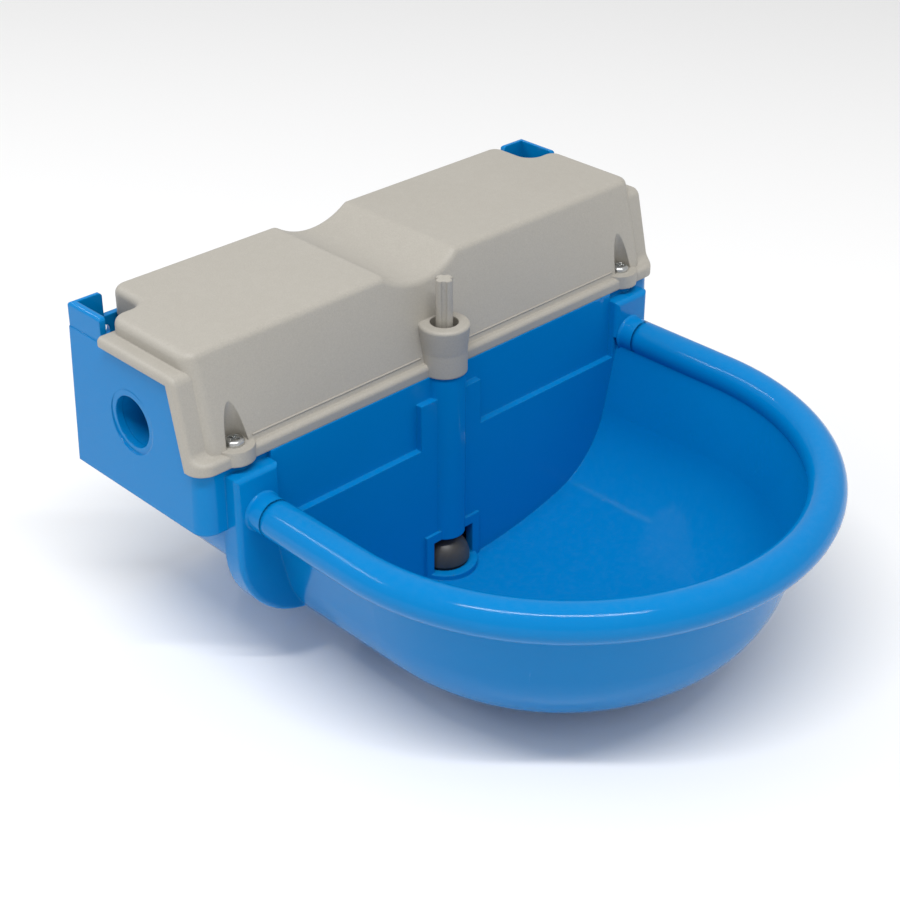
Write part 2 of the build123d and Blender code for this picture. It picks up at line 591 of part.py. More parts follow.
with BuildPart() as drain_plug:
    with BuildSketch(drain_plane):
        with BuildLine():
            Polyline((0, SUMP_Z), (SPIGOT_R - SPIGOT_CHAMFER, SUMP_Z),
                     (SPIGOT_R, SUMP_Z + SPIGOT_CHAMFER), (SPIGOT_R, HEAD_Z), (PLUG_R, HEAD_Z),
                     (PLUG_R, HEAD_Z + PLUG_RIM))
            RadiusArc((PLUG_R, HEAD_Z + PLUG_RIM), (0, PLUG_TOP), -PLUG_R)
            Line((0, PLUG_TOP), (0, SUMP_Z))
        make_face()
    revolve(axis=drain_axis)
    with BuildSketch(Plane.XY.offset(ROD_FOOT)):
        with Locations((DRAIN_X, DRAIN_Y)):
            Circle(ROD_R)
    extrude(amount=ROD_SOCKET + OVERCUT, mode=Mode.SUBTRACT)
drain_plug.part.label = "drain_plug"
export_step(drain_plug.part, "parts/drain_plug.step")

with BuildPart() as drain_seal:
    with BuildSketch(Plane.XY.offset(HEAD_Z)):
        with Locations((DRAIN_X, DRAIN_Y)):
            Circle(SEAL_R)
            Circle(SPIGOT_R, mode=Mode.SUBTRACT)
    extrude(amount=-SEAL_HEIGHT)
drain_seal.part.label = "drain_seal"
export_step(drain_seal.part, "parts/drain_seal.step")

# ---- float valve: a horizontal body on the inlet, with a sliding piston and a float arm ----
TAIL_END = 172.0
RELIEF_X = 158.8         # thread relief between the backnut and the pipe
RELIEF = 1.0             # its width and depth, and the chamfer at the tail's end
SHOULDER_R = 15.0
SHOULDER_X = 137.0
INNER_WASHER = 1.6
OUTER_WASHER = 2.0
WASHER_BORE = 10.7
BACKNUT_FLATS = 30.0
BACKNUT_HEIGHT = 8.0
BACKNUT_CHAMFER = 1.0
BARREL_R = 11.5
BARREL_END = 80.0
PISTON_BORE = 8.0
INLET_BORE = 6.0
SEAT_END = 119.0
SEAT_START = 110.5
NOSE_X = 108.0
NOZZLE_BORE = 2.5
NOZZLE_R = 5.0
NOZZLE_TIP_R = 3.6
RUNNING = 0.05           # radial clearance of parts that turn or slide
PISTON_R = PISTON_BORE - RUNNING
CAP_HEAD = 3.5           # screw cap on the barrel's end: its head and the plug behind it
CAP_PLUG = 2.5
CAP_RIM = 0.8
CAP_CHAMFER = 0.5
CAP_SLOT_LENGTH = 17.0
CAP_SLOT_WIDTH = 2.0
CAP_SLOT_DEPTH = 1.5
PIVOT_X = 96.0
PIVOT_Z = 25.8
PIN_R = 2.0
LUG_R = 5.0
HUB_R = 4.2
LUG_GAP = 2.8            # half of the gap between the lugs
LUG_OUTER = 8.0
PIN_HEAD = 1.5
PIN_HEAD_R = 3.4
PIN_TAIL = 2.6           # beyond the lug, with the clip on it
CLIP_R = 3.6
CLIP_THICK = 0.8
CLIP_GAP = 0.1
FINGER = 11.0            # from the pivot to the middle of the finger's tip
FINGER_TIP_R = 3.0
FINGER_NECK = 3.2
SPOUT_X = 107.5
SPOUT_R = 5.0
SPOUT_BORE = 3.2
SPOUT_DROP = 7.0
SPOUT_ROOT = 3.0         # how far it reaches into the barrel's wall
LEVER_SLOT = 15.0        # slot for the lever, and how far its middle lies beside the pivot
LEVER_SLOT_SHIFT = 1.5
ARM_ANGLE_SHUT = 24.3    # degrees below level with the valve shut
ARM_TRAVEL = 20.0        # degrees it falls to open the valve fully
ARM_LENGTH = 90.0        # pivot to the middle of the float
ARM_ROD_R = 2.5
FLOAT_R = 28.0
FLOAT_LENGTH = 70.0
FLOAT_WALL = 2.0
FLOAT_CHAMFER = 2.5
CAP_EDGE = 1.5
CAP_SPIGOT = 4.0         # how far the cap's ring reaches into the shell
PISTON_SHUT = 86.8       # outer end of the piston with the valve shut
PISTON_OPEN = PISTON_SHUT - FINGER * radians(ARM_TRAVEL)
PISTON_LENGTH = 19.6
PISTON_CHAMFER = 0.5
FINGER_SLOT_GAP = 0.35   # beside the finger's tip, each way
FINGER_SLOT_WIDTH = 5.2
FINGER_SLOT_TOP = 3.5    # above the valve's axis
WASHER_R = 6.1
WASHER_DEPTH = 2.0       # how deep it sits in the piston
WASHER_PROUD = 1.5
WASHER_BEVEL = 0.5
WASHER_ROOM = 0.1

valve_plane = Plane(origin=(0, BORE_Y, BORE_Z), x_dir=(1, 0, 0), z_dir=(0, -1, 0))
valve_axis = Axis((0, BORE_Y, BORE_Z), (1, 0, 0))
pivot_plane = Plane(origin=(PIVOT_X, BORE_Y, PIVOT_Z), x_dir=(1, 0, 0), z_dir=(0, -1, 0))
arm_angle = radians(ARM_ANGLE_SHUT + ARM_TRAVEL)
arm_plane = Plane(origin=(PIVOT_X, BORE_Y, PIVOT_Z), x_dir=(-cos(arm_angle), 0, -sin(arm_angle)),
                  z_dir=(0, 1, 0))


def turned(points):
    """A solid of revolution about the valve's axis, from (x, radius) points."""
    with BuildPart() as solid:
        with BuildSketch(valve_plane):
            with BuildLine():
                Polyline(*points, close=True)
            make_face()
        revolve(axis=valve_axis)
    return solid.part


with BuildPart() as valve_body:
    washer_x = INNER_SPOT_X - INNER_WASHER
    root_r = TAIL_R - RELIEF
    add(turned([(BARREL_END, PISTON_BORE), (BARREL_END, BARREL_R), (SHOULDER_X, BARREL_R),
                (SHOULDER_X, SHOULDER_R), (washer_x, SHOULDER_R), (washer_x, TAIL_R),
                (RELIEF_X, TAIL_R), (RELIEF_X, root_r), (RELIEF_X + RELIEF, root_r),
                (RELIEF_X + RELIEF, TAIL_R), (TAIL_END - RELIEF, TAIL_R), (TAIL_END, root_r),
                (TAIL_END, INLET_BORE), (SEAT_END, INLET_BORE), (SEAT_END, PISTON_BORE)]))
    # lugs for the arm's pivot
    with BuildSketch(pivot_plane):
        Circle(LUG_R)
        with Locations((0, LUG_R)):
            Rectangle(2 * LUG_R, 2 * LUG_R)
    extrude(amount=LUG_OUTER, both=True)
    # outlet spout
    with Locations((SPOUT_X, BORE_Y, BORE_Z - BARREL_R - SPOUT_DROP)):
        Cylinder(SPOUT_R, SPOUT_DROP + SPOUT_ROOT, align=(Align.CENTER, Align.CENTER, Align.MIN))
        Cylinder(SPOUT_BORE, SPOUT_DROP + BARREL_R, align=(Align.CENTER, Align.CENTER, Align.MIN),
                 mode=Mode.SUBTRACT)
    # piston bore again through the lugs' roots, the slot for the lever, and the pin's hole
    add(turned([(BARREL_END, 0), (BARREL_END, PISTON_BORE), (SEAT_END, PISTON_BORE), (SEAT_END, 0)]),
        mode=Mode.SUBTRACT)
    with Locations((PIVOT_X - LEVER_SLOT_SHIFT, BORE_Y, BORE_Z)):
        Box(LEVER_SLOT, 2 * LUG_GAP, BORE_Z - PIVOT_Z + LUG_R + OVERCUT,
            align=(Align.CENTER, Align.CENTER, Align.MAX), mode=Mode.SUBTRACT)
    with BuildSketch(pivot_plane):
        Circle(PIN_R + RUNNING)
    extrude(amount=LUG_OUTER + OVERCUT, both=True, mode=Mode.SUBTRACT)
valve_body.part.label = "valve_body"
export_step(valve_body.part, "parts/valve_body.step")

with BuildPart() as nozzle_seat:
    add(turned([(SEAT_END, NOZZLE_BORE), (SEAT_END, PISTON_R), (SEAT_START, PISTON_R),
                (SEAT_START, NOZZLE_R), (NOSE_X, NOZZLE_TIP_R), (NOSE_X, NOZZLE_BORE)]))
nozzle_seat.part.label = "nozzle_seat"
export_step(nozzle_seat.part, "parts/nozzle_seat.step")

with BuildPart() as valve_cap:
    cap_x = BARREL_END - CAP_HEAD
    cap_r = BARREL_R + CAP_RIM
    add(turned([(cap_x, 0), (cap_x, cap_r - CAP_CHAMFER), (cap_x + CAP_CHAMFER, cap_r),
                (BARREL_END, cap_r), (BARREL_END, PISTON_R), (BARREL_END + CAP_PLUG, PISTON_R),
                (BARREL_END + CAP_PLUG, 0)]))
    with Locations((cap_x, BORE_Y, BORE_Z)):
        Box(2 * CAP_SLOT_DEPTH, CAP_SLOT_WIDTH, CAP_SLOT_LENGTH, mode=Mode.SUBTRACT)
valve_cap.part.label = "valve_cap"
export_step(valve_cap.part, "parts/valve_cap.step")

with BuildPart() as inlet_washers:
    for start, thick in ((INNER_SPOT_X - INNER_WASHER, INNER_WASHER), (SPOT_X, OUTER_WASHER)):
        with BuildSketch(Plane(origin=(start, BORE_Y, BORE_Z), z_dir=(1, 0, 0))):
            Circle(SHOULDER_R)
            Circle(WASHER_BORE, mode=Mode.SUBTRACT)
        extrude(amount=thick)
inlet_washers.part.label = "inlet_washers"
export_step(inlet_washers.part, "parts/inlet_washers.step")

with BuildPart() as inlet_backnut:
    with BuildSketch(Plane(origin=(SPOT_X + OUTER_WASHER, BORE_Y, BORE_Z), z_dir=(1, 0, 0))):
        RegularPolygon(BACKNUT_FLATS / 2, 6, major_radius=False)
        Circle(TAIL_R + RUNNING, mode=Mode.SUBTRACT)
    extrude(amount=BACKNUT_HEIGHT)
    chamfer(inlet_backnut.faces().sort_by(Axis.X)[-1].outer_wire().edges(), BACKNUT_CHAMFER)
inlet_backnut.part.label = "inlet_backnut"
export_step(inlet_backnut.part, "parts/inlet_backnut.step")

with BuildPart() as valve_piston:
    piston_end = PISTON_OPEN + PISTON_LENGTH
    recess_x = piston_end - WASHER_DEPTH
    add(turned([(PISTON_OPEN, 0), (PISTON_OPEN, PISTON_R - PISTON_CHAMFER),
                (PISTON_OPEN + PISTON_CHAMFER, PISTON_R), (piston_end, PISTON_R),
                (piston_end, WASHER_R + WASHER_ROOM), (recess_x, WASHER_R + WASHER_ROOM), (recess_x, 0)]))
    # slot for the lever's finger
    slot_x = PIVOT_X - (PISTON_SHUT - PISTON_OPEN) / 2
    with Locations((slot_x, BORE_Y, BORE_Z + FINGER_SLOT_TOP)):
        Box(2 * (FINGER_TIP_R + FINGER_SLOT_GAP), FINGER_SLOT_WIDTH,
            PISTON_BORE + FINGER_SLOT_TOP + OVERCUT, align=(Align.CENTER, Align.CENTER, Align.MAX),
            mode=Mode.SUBTRACT)
valve_piston.part.label = "valve_piston"
export_step(valve_piston.part, "parts/valve_piston.step")

with BuildPart() as piston_washer:
    add(turned([(recess_x, 0), (recess_x, WASHER_R), (piston_end, WASHER_R),
                (piston_end + WASHER_PROUD, WASHER_R - WASHER_BEVEL), (piston_end + WASHER_PROUD, 0)]))
piston_washer.part.label = "piston_washer"
export_step(piston_washer.part, "parts/piston_washer.step")

with BuildPart() as pivot_pin:
    with BuildSketch(pivot_plane.offset(-LUG_OUTER - PIN_TAIL)):
        Circle(PIN_R)
    extrude(amount=2 * LUG_OUTER + PIN_TAIL + PIN_HEAD)
    with BuildSketch(pivot_plane.offset(LUG_OUTER)):
        Circle(PIN_HEAD_R)
    extrude(amount=PIN_HEAD)
pivot_pin.part.label = "pivot_pin"
export_step(pivot_pin.part, "parts/pivot_pin.step")

with BuildPart() as pivot_clip:
    with BuildSketch(pivot_plane.offset(-LUG_OUTER - CLIP_GAP)):
        Circle(CLIP_R)
        Circle(PIN_R, mode=Mode.SUBTRACT)
    extrude(amount=-CLIP_THICK)
pivot_clip.part.label = "pivot_clip"
export_step(pivot_clip.part, "parts/pivot_clip.step")

# ---- float arm, drawn at rest with the float down; local x runs from the pivot to the float ----
LEVER_HALF = 2.3
NECK_HEIGHT = 6.4        # of the lever between its hub and its socket
SOCKET_R = 4.2
SOCKET_START = 12.0
SOCKET_END = 26.0
NUT_FLATS = 9.0
NUT_HEIGHT = 3.5
ROD_START = 14.0
BOSS_PROUD = 4.0         # float's boss, outside the shell
ROD_GRIP = 12.0          # and the rod's length inside it
BOSS_START = ARM_LENGTH - FLOAT_R - BOSS_PROUD
FLOAT_BOSS_R = 6.5
ROD_END = ARM_LENGTH - FLOAT_R + ROD_GRIP
finger_lean = radians(ARM_ANGLE_SHUT + ARM_TRAVEL / 2)    # upright at mid-travel
finger_tip = (-FINGER * sin(finger_lean), FINGER * cos(finger_lean))


def arm_section(distance):
    """Plane square to the arm's rod, at this distance from the pivot."""
    return Plane(origin=arm_plane.from_local_coords(Vector(distance, 0, 0)), z_dir=arm_plane.x_dir,
                 x_dir=(0, 1, 0))


with BuildPart() as float_lever:
    with BuildSketch(arm_plane):
        Circle(HUB_R)
        with Locations(finger_tip):
            Circle(FINGER_TIP_R)
        with Locations(Location((finger_tip[0] / 2, finger_tip[1] / 2, 0), degrees(finger_lean))):
            Rectangle(FINGER_NECK, FINGER)
        with Locations((ROD_START / 2, 0)):
            Rectangle(ROD_START, NECK_HEIGHT)
    extrude(amount=LEVER_HALF, both=True)
    with BuildSketch(arm_section(SOCKET_START)):
        Circle(SOCKET_R)
    extrude(amount=SOCKET_END - SOCKET_START)
    with BuildSketch(arm_section(ROD_START)):
        Circle(ARM_ROD_R)
    extrude(amount=SOCKET_END - ROD_START + OVERCUT, mode=Mode.SUBTRACT)
    with BuildSketch(arm_plane):
        Circle(PIN_R + RUNNING)
    extrude(amount=LEVER_HALF + OVERCUT, both=True, mode=Mode.SUBTRACT)
float_lever.part.label = "float_lever"
export_step(float_lever.part, "parts/float_lever.step")

with BuildPart() as float_rod:
    with BuildSketch(arm_section(ROD_START)):
        Circle(ARM_ROD_R)
    extrude(amount=ROD_END - ROD_START)
float_rod.part.label = "float_rod"
export_step(float_rod.part, "parts/float_rod.step")

with BuildPart() as float_locknuts:
    for start in (SOCKET_END, BOSS_START - NUT_HEIGHT):
        with BuildSketch(arm_section(start)):
            RegularPolygon(NUT_FLATS / 2, 6, major_radius=False)
            Circle(ARM_ROD_R, mode=Mode.SUBTRACT)
        extrude(amount=NUT_HEIGHT)
float_locknuts.part.label = "float_locknuts"
export_step(float_locknuts.part, "parts/float_locknuts.step")

with BuildPart() as float_shell:
    with BuildSketch(arm_plane.offset(-FLOAT_LENGTH / 2 + FLOAT_WALL)):
        with Locations((ARM_LENGTH, 0)):
            Circle(FLOAT_R)
    extrude(amount=FLOAT_LENGTH - FLOAT_WALL)
    chamfer(float_shell.faces().sort_by(Axis.Y)[-1].edges(), FLOAT_CHAMFER)
    with BuildSketch(arm_plane.offset(-FLOAT_LENGTH / 2 + FLOAT_WALL)):
        with Locations((ARM_LENGTH, 0)):
            Circle(FLOAT_R - FLOAT_WALL)
    extrude(amount=FLOAT_LENGTH - 2 * FLOAT_WALL, mode=Mode.SUBTRACT)
    with BuildSketch(arm_section(BOSS_START)):
        Circle(FLOAT_BOSS_R)
    extrude(amount=ROD_END + FLOAT_WALL - BOSS_START)
    with BuildSketch(arm_section(BOSS_START)):
        Circle(ARM_ROD_R)
    extrude(amount=ROD_END - BOSS_START, mode=Mode.SUBTRACT)
float_shell.part.label = "float_shell"
export_step(float_shell.part, "parts/float_shell.step")

with BuildPart() as float_cap:
    with BuildSketch(arm_plane.offset(-FLOAT_LENGTH / 2)):
        with Locations((ARM_LENGTH, 0)):
            Circle(FLOAT_R)
    extrude(amount=FLOAT_WALL)
    chamfer(float_cap.faces().sort_by(Axis.Y)[0].edges(), CAP_EDGE)
    with BuildSketch(arm_plane.offset(-FLOAT_LENGTH / 2 + FLOAT_WALL)):
        with Locations((ARM_LENGTH, 0)):
            Circle(FLOAT_R - FLOAT_WALL - RUNNING)
            Circle(FLOAT_R - 2 * FLOAT_WALL, mode=Mode.SUBTRACT)
    extrude(amount=CAP_SPIGOT)
float_cap.part.label = "float_cap"
export_step(float_cap.part, "parts/float_cap.step")
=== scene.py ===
from math import cos, pi, radians, sin

import bmesh
import bpy
from bpy.props import FloatProperty, FloatVectorProperty, IntProperty, PointerProperty
from mathutils import Matrix, Vector


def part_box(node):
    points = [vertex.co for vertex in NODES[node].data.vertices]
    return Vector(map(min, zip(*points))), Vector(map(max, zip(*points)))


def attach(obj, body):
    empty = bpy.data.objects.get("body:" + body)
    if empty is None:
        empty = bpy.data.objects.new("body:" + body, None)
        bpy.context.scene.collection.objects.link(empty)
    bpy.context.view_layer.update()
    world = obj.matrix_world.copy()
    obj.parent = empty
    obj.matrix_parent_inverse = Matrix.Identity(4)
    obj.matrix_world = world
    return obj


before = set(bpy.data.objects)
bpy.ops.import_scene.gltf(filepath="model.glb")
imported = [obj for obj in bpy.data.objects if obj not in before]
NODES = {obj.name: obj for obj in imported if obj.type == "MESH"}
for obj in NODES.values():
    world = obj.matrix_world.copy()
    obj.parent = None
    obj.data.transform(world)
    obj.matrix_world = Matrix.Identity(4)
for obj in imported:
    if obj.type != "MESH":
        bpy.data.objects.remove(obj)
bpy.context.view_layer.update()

bl_info = {
    "name": "Livestock drinking bowl",
    "version": (1, 0, 0),
    "blender": (4, 5, 0),
    "location": "View3D > Sidebar > Drinking bowl",
    "description": "Dresses a wall-mounted drinking bowl with a float valve and a pull-up drain",
    "category": "Object",
}

FLOOR_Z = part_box("housing")[0].z
FLOOR_GAP = 0.0002                            # the floor lies this far under the housing
FLOOR_HALF = 4.0
LIGHT_DISTANCE = 1.7
BACK_TURN, BACK_ELEVATION = radians(-98), radians(37)    # turns are from the camera's azimuth
FILL_TURN, FILL_ELEVATION = radians(100), radians(28)
SHARP_ANGLE = radians(35)                     # new meshes are smooth up to this turn
PLASTIC_IOR = 1.50

BORE_CENTRE = Vector((0, -0.0455, 0.0383))    # the line through both pipe bores
BORE_R = 0.0125
LINING_R = 0.0150                             # the spare bore's lining, across its outside
LINING_OUT, LINING_IN = -0.1449, -0.1262      # and its two ends along x
LINING_BEVEL, BORE_BEVEL = 0.0008, 0.0006     # outer and inner bevels of its inner end
FLANGE_Y = -0.104                             # front of the flange's two pads
RIM_HALF = 0.1236                             # the rolled rim's centre line, at its ends
RIM_Z = 0.0074
RIM_BLEND = ((0.0006, 0.0099), (-0.0001, 0.0099), (-0.00035, 0.00955), (-0.0008, 0.00926),
             (-0.0014, 0.00914), (-0.0080, 0.00912), (-0.0120, 0.00885), (-0.0120, 0.0070),
             (0.0006, 0.0070))                # each point's y from FLANGE_Y, and its radius
BEAD_Y = -0.0937                              # bead along the foot of the cover's front
BEAD_Z = 0.0403
BEAD_R = 0.0005
BEAD_ENDS = {"bead_left": (-0.1190, -0.0180), "bead_right": (0.0070, 0.1190)}
THREAD_START, THREAD_END = 0.1606, 0.1709     # along x
THREAD_R = 0.01048                            # surface of the inlet's plain tail
THREAD_FOOT, THREAD_CREST = 0.46, 0.12        # half widths of the ridge, in pitches
THREAD_SUNK = -0.3                            # its foot under that surface, in ridge heights


# ---------------------------------------------------------------- settings

class BowlStage(bpy.types.PropertyGroup):
    """Camera, floor and lights."""

    lens: FloatProperty(
        name="Lens", description="Focal length for a 36 mm wide frame", default=70.70, min=10)
    target: FloatVectorProperty(
        name="Target", description="Point the camera turns round", subtype="TRANSLATION",
        default=(0.0, -0.120, 0.040))
    azimuth: FloatProperty(
        name="Azimuth", description="Camera's place round the bowl, 0 in front", subtype="ANGLE",
        default=radians(-45.5))
    elevation: FloatProperty(
        name="Elevation", description="Camera's height above the bowl", subtype="ANGLE",
        default=radians(28.39))
    roll: FloatProperty(
        name="Roll", description="Turn about the line of sight", subtype="ANGLE",
        default=radians(0.7))
    distance: FloatProperty(
        name="Distance", description="From the target to the camera", subtype="DISTANCE",
        unit="LENGTH", default=0.83193)
    shift: FloatVectorProperty(
        name="Shift", description="Lens shift, in frame widths", size=2, default=(-0.0407, -0.0938))
    floor_colour: FloatVectorProperty(
        name="Floor", description="Colour of the pale floor", subtype="COLOR", size=3,
        default=(0.90, 0.90, 0.90), min=0, max=1)
    key_power: FloatProperty(
        name="Key light", description="Power of the long light overhead", unit="POWER", default=23.0)
    key_length: FloatProperty(
        name="Key length", description="Length of the light overhead", unit="LENGTH", default=1.5)
    key_width: FloatProperty(
        name="Key width", description="Width of the light overhead", unit="LENGTH", default=0.07)
    key_elevation: FloatProperty(
        name="Key elevation", description="Height of that light above the bowl", subtype="ANGLE",
        default=radians(66))
    fill_power: FloatProperty(
        name="Fill light", description="Power of the light on the shaded side", unit="POWER",
        default=3.0)
    back_power: FloatProperty(
        name="Back light", description="Power of the long light behind the cover", unit="POWER",
        default=6.5)
    sky: FloatProperty(
        name="Sky", description="Strength of the even white surroundings", default=0.56)


class BowlPlastics(bpy.types.PropertyGroup):
    """Colours and finish of the mouldings."""

    blue: FloatVectorProperty(
        name="Blue", description="Housing's colour", subtype="COLOR", size=3,
        default=(0.0, 0.198, 0.520), min=0, max=1)
    blue_roughness: FloatProperty(
        name="Blue roughness", description="Gloss of the housing", default=0.10, min=0, max=1)
    grey: FloatVectorProperty(
        name="Grey", description="Cover's colour", subtype="COLOR", size=3,
        default=(0.385, 0.364, 0.322), min=0, max=1)
    grey_roughness: FloatProperty(
        name="Grey roughness", description="Gloss of the cover", default=0.52, min=0, max=1)
    # painted shade: the plug's colour is set near-black to stand for the shade it sits in, not for its own
    # plastic
    plug_grey: FloatVectorProperty(
        name="Plug", description="Drain plug's colour", subtype="COLOR", size=3,
        default=(0.043, 0.040, 0.036), min=0, max=1)
    float_white: FloatVectorProperty(
        name="Float", description="Float's colour", subtype="COLOR", size=3,
        default=(0.74, 0.74, 0.70), min=0, max=1)
    edge_round: FloatProperty(
        name="Edge rounding", description="Radius at which sharp moulded edges catch the light",
        unit="LENGTH", default=0.0009)


class BowlMetals(bpy.types.PropertyGroup):
    """Fasteners and valve."""

    zinc: FloatVectorProperty(
        name="Zinc", description="Plated screws' colour", subtype="COLOR", size=3,
        default=(0.62, 0.63, 0.63), min=0, max=1)
    brass: FloatVectorProperty(
        name="Brass", description="Valve body's colour", subtype="COLOR", size=3,
        default=(0.66, 0.46, 0.19), min=0, max=1)
    steel: FloatVectorProperty(
        name="Steel", description="Rod and pin's colour", subtype="COLOR", size=3,
        default=(0.57, 0.57, 0.56), min=0, max=1)
    thread_pitch: FloatProperty(
        name="Thread pitch", description="Pitch of the half-inch pipe thread", unit="LENGTH",
        default=0.001814)
    thread_height: FloatProperty(
        name="Thread height", description="Of the ridge over the inlet's plain tail", unit="LENGTH",
        default=0.00045)
    thread_steps: IntProperty(
        name="Thread steps", description="Steps in one turn of the thread", default=48)


# ---------------------------------------------------------------- small helpers

def shape_object(name, mesh, body, material):
    """Links a finished mesh as a piece that rides on a body."""
    piece = bpy.data.objects.new(name, mesh)
    bpy.context.scene.collection.objects.link(piece)
    mesh.materials.append(material)
    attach(piece, body)


def dress(node, material):
    """Gives a carried-over node its material."""
    materials = NODES[node].data.materials
    materials.clear()
    materials.append(material)


def mesh_from(bm, name, smooth=True):
    """Turns a bmesh into a mesh with outward faces."""
    bmesh.ops.recalc_face_normals(bm, faces=bm.faces)
    for face in bm.faces:
        face.smooth = smooth
    mesh = bpy.data.meshes.new(name)
    bm.to_mesh(mesh)
    bm.free()
    mesh.set_sharp_from_angle(angle=SHARP_ANGLE)
    return mesh


def turned_mesh(name, outline, centre, along_y=False, segments=96):
    """Revolves a closed outline of (place, radius) about a line along x or y through a centre."""
    bm = bmesh.new()
    rings = []
    for place, radius in outline:
        ring = []
        for k in range(segments):
            across = radius * cos(2 * pi * k / segments)
            up = centre.z + radius * sin(2 * pi * k / segments)
            point = (centre.x + across, place, up) if along_y else (place, centre.y + across, up)
            ring.append(bm.verts.new(point))
        rings.append(ring)
    for ring, following in zip(rings, rings[1:] + rings[:1]):
        for k in range(segments):
            nxt = (k + 1) % segments
            bm.faces.new((ring[k], ring[nxt], following[nxt], following[k]))
    return mesh_from(bm, name)


def bead_mesh(name, start, end, radius, segments=12):
    """A slim round bar along x, from start to end."""
    bm = bmesh.new()
    turn = Matrix.Rotation(pi / 2, 4, "Y")
    bmesh.ops.create_cone(bm, cap_ends=True, segments=segments, radius1=radius, radius2=radius,
                          depth=end.x - start.x, matrix=Matrix.Translation((start + end) / 2) @ turn)
    return mesh_from(bm, name)


def thread_mesh(name, start, end, radius, pitch, height, steps):
    """A helical ridge along the line through the pipe bores, fading out at both ends."""
    bm = bmesh.new()
    total = int((end - start) / pitch * steps)
    sections = []
    for k in range(total + 1):
        angle = 2 * pi * k / steps
        x = start + pitch * k / steps
        rise = height * min(1.0, k / steps, (total - k) / steps)
        section = []
        crest = rise / height
        for offset, lift in ((-THREAD_FOOT, THREAD_SUNK), (-THREAD_CREST, crest), (THREAD_CREST, crest),
                             (THREAD_FOOT, THREAD_SUNK)):
            r = radius + height * lift
            section.append(bm.verts.new((x + offset * pitch, BORE_CENTRE.y + r * cos(angle),
                                         BORE_CENTRE.z + r * sin(angle))))
        sections.append(section)
    for first, second in zip(sections, sections[1:]):
        for k in range(4):
            bm.faces.new((first[k], first[(k + 1) % 4], second[(k + 1) % 4], second[k]))
    bm.faces.new(sections[0])
    bm.faces.new(sections[-1][::-1])
    return mesh_from(bm, name, smooth=False)


def aimed(azimuth, elevation, distance, roll=0.0):
    """Placement of a camera or light that looks at the bowl from a side and a height."""
    away = Vector((sin(azimuth) * cos(elevation), -cos(azimuth) * cos(elevation), sin(elevation)))
    across = Vector((0, 0, 1)).cross(away).normalized()
    axes = Matrix.Rotation(roll, 3, away) @ Matrix((across, away.cross(across), away)).transposed()
    centre = Vector(bpy.context.scene.bowl_stage.target)
    return Matrix.Translation(centre + away * distance) @ axes.to_4x4()


# ---------------------------------------------------------------- shader groups

def group_sockets(tree, inputs, outputs):
    """Makes a node group's sockets from (name, kind, default) and (name, kind)."""
    for name, kind, default in inputs:
        tree.interface.new_socket(name, in_out="INPUT", socket_type=kind).default_value = default
    for name, kind in outputs:
        tree.interface.new_socket(name, in_out="OUTPUT", socket_type=kind)
    return tree.nodes.new("NodeGroupInput"), tree.nodes.new("NodeGroupOutput")


def feed(tree, socket, value):
    """Links an output to a socket, or sets the socket to a plain value."""
    if isinstance(value, bpy.types.NodeSocket):
        tree.links.new(value, socket)
    else:
        socket.default_value = value


def maths(tree, operation, first, second, clamp=False):
    """Adds a Math node and returns its output."""
    node = tree.nodes.new("ShaderNodeMath")
    node.operation = operation
    node.use_clamp = clamp
    feed(tree, node.inputs[0], first)
    feed(tree, node.inputs[1], second)
    return node.outputs[0]


def noise(tree, vector, scale, detail=4.0, roughness=0.5, distortion=0.0):
    """Adds a Noise Texture and returns its factor."""
    node = tree.nodes.new("ShaderNodeTexNoise")
    tree.links.new(vector, node.inputs["Vector"])
    feed(tree, node.inputs["Scale"], scale)
    node.inputs["Detail"].default_value = detail
    node.inputs["Roughness"].default_value = roughness
    node.inputs["Distortion"].default_value = distortion
    return node.outputs[0]


def remap(tree, value, low, high, to_low=0.0, to_high=1.0):
    """Adds a Map Range node, clamped, and returns its result."""
    node = tree.nodes.new("ShaderNodeMapRange")
    tree.links.new(value, node.inputs["Value"])
    for name, number in zip(("From Min", "From Max", "To Min", "To Max"), (low, high, to_low, to_high)):
        node.inputs[name].default_value = number
    return node.outputs["Result"]


def blended(tree, factor, first, second, mode="MIX"):
    """Adds a colour Mix node and returns its colour."""
    node = tree.nodes.new("ShaderNodeMix")
    node.data_type = "RGBA"
    node.blend_type = mode
    feed(tree, node.inputs["Factor"], factor)
    feed(tree, node.inputs[6], first)       # 6, 7 and output 2 are the node's colour sockets
    feed(tree, node.inputs[7], second)
    return node.outputs[2]


def part_coordinates(tree):
    """The part's own coordinates, in metres."""
    return tree.nodes.new("ShaderNodeTexCoord").outputs["Object"]


def stretched(tree, vector, scale):
    """Scales coordinates along each axis."""
    node = tree.nodes.new("ShaderNodeMapping")
    tree.links.new(vector, node.inputs["Vector"])
    node.inputs["Scale"].default_value = scale
    return node.outputs["Vector"]


def grain_group(tree):
    """Fine spark-eroded mould texture, as a height."""
    source, sink = group_sockets(
        tree, [("Scale", "NodeSocketFloat", 1800.0), ("Pebble", "NodeSocketFloat", 0.5)],
        [("Height", "NodeSocketFloat")])
    place = part_coordinates(tree)
    fine = noise(tree, place, source.outputs["Scale"], detail=3.0, roughness=0.6)
    coarse_scale = maths(tree, "MULTIPLY", source.outputs["Scale"], 0.35)
    coarse = noise(tree, place, coarse_scale, detail=2.0)
    pebbles = maths(tree, "MULTIPLY", coarse, source.outputs["Pebble"])
    tree.links.new(maths(tree, "ADD", fine, pebbles), sink.inputs["Height"])


